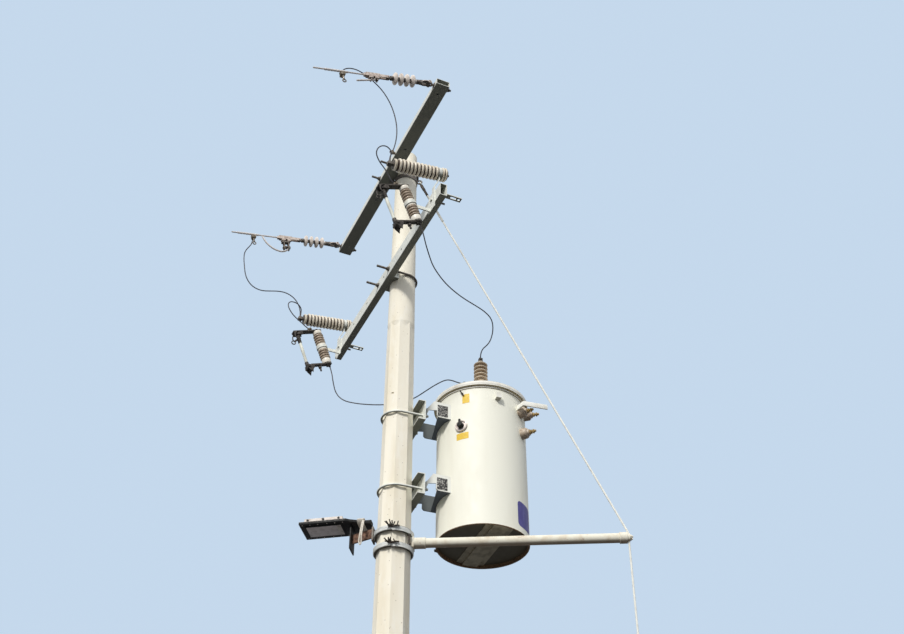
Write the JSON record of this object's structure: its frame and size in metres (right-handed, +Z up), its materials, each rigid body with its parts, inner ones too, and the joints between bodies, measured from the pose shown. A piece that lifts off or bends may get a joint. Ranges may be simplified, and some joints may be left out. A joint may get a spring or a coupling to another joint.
{
  "type": "pole-mounted distribution transformer",
  "caption": "Oil-filled distribution transformer hung on a tapered octagonal concrete pole with crossarms, fused cutouts, surge arresters, dead-end strings, a braced guy and a street lamp",
  "frame": {"origin": "centre of the pole's flat base at ground level", "axes": "+Z up along the pole; +Y along the crossarms; the line leaves toward -X and the transformer tank hangs on the +X side"},
  "size_m": [2.4154, 2, 9.2],
  "materials": {
    "concrete": "cream cast concrete with faint stains",
    "galvanised_steel": "dull hot-dip galvanised",
    "steel_strand": "weathered galvanised strand",
    "cast_aluminium": "matte cast",
    "line_aluminium": "weathered stranded aluminium",
    "bronze": "dull bronze",
    "polymer_grey": "matte grey silicone",
    "polymer_dark": "matte dark",
    "porcelain": "glazed beige grey porcelain",
    "fuse_fibre": "weathered fibre tube",
    "tank_paint": "off-white enamel",
    "tank_dark": "shaded grey enamel",
    "pipe_paint": "cream paint with rust stains",
    "lamp_black": "black powder coat",
    "lamp_lens": "frosted lens",
    "copper_wire": "darkened bare wire"
  },
  "bodies": {
    "pole_assembly": {"anchor_rod": "galvanised_steel", "brace_end_fitting": "pipe_paint", "brace_pipe": "pipe_paint", "brace_socket": "pipe_paint", "crossarm_eyebolts": "galvanised_steel", "cutout_insulators": "porcelain", "cutout_lower_hinges": "cast_aluminium", "cutout_top_contacts": "cast_aluminium", "dead_end_clamps": "cast_aluminium", "equipment_brackets": "galvanised_steel", "far_cutout_jumper": "copper_wire", "far_line_jumper": "copper_wire", "far_tank_jumper": "copper_wire", "guy_band": "galvanised_steel", "guy_wire": "steel_strand", "hanger_brackets": "tank_paint", "hot_line_clamps": "bronze", "lamp_bracket": "lamp_black", "lamp_head": "lamp_black", "lamp_lens": "lamp_lens", "lifting_lugs": "tank_paint", "line_wires": "line_aluminium", "lower_crossarm": "galvanised_steel", "lower_crossarm_saddle": "galvanised_steel", "lower_crossarm_u_bolt": "galvanised_steel", "lower_guy_wire": "steel_strand", "mount_channels": "galvanised_steel", "near_cutout_jumper": "copper_wire", "near_line_jumper": "copper_wire", "near_tank_jumper": "copper_wire", "pole": "concrete", "pole_bands": "galvanised_steel", "pole_u_bolts": "galvanised_steel", "primary_bushings": "porcelain", "secondary_bushings": "polymer_dark", "side_bar_bracket": "tank_paint", "string_insulators": "polymer_grey", "surge_arresters": "porcelain", "tank": "tank_paint", "tank_lid": "tank_paint", "tank_skids": "tank_dark", "tap_changer": "polymer_dark", "upper_crossarm": "galvanised_steel", "upper_crossarm_u_bolt": "galvanised_steel"},
    "near_fuse_tube_body": {"near_fuse_tube": "fuse_fibre"},
    "far_fuse_tube_body": {"far_fuse_tube": "fuse_fibre"}
  },
  "joints": [
    {"name": "near_fuse_tube_hinge", "type": "hinge", "parent": "pole_assembly", "child": "near_fuse_tube_body", "pos_m": [-0.39077, -0.845, 7.62667], "axis": [0, -1, 0], "range_deg": [0, 155]},
    {"name": "far_fuse_tube_hinge", "type": "hinge", "parent": "pole_assembly", "child": "far_fuse_tube_body", "pos_m": [-0.39077, 0.885, 7.62667], "axis": [0, -1, 0], "range_deg": [0, 155]}
  ]
}
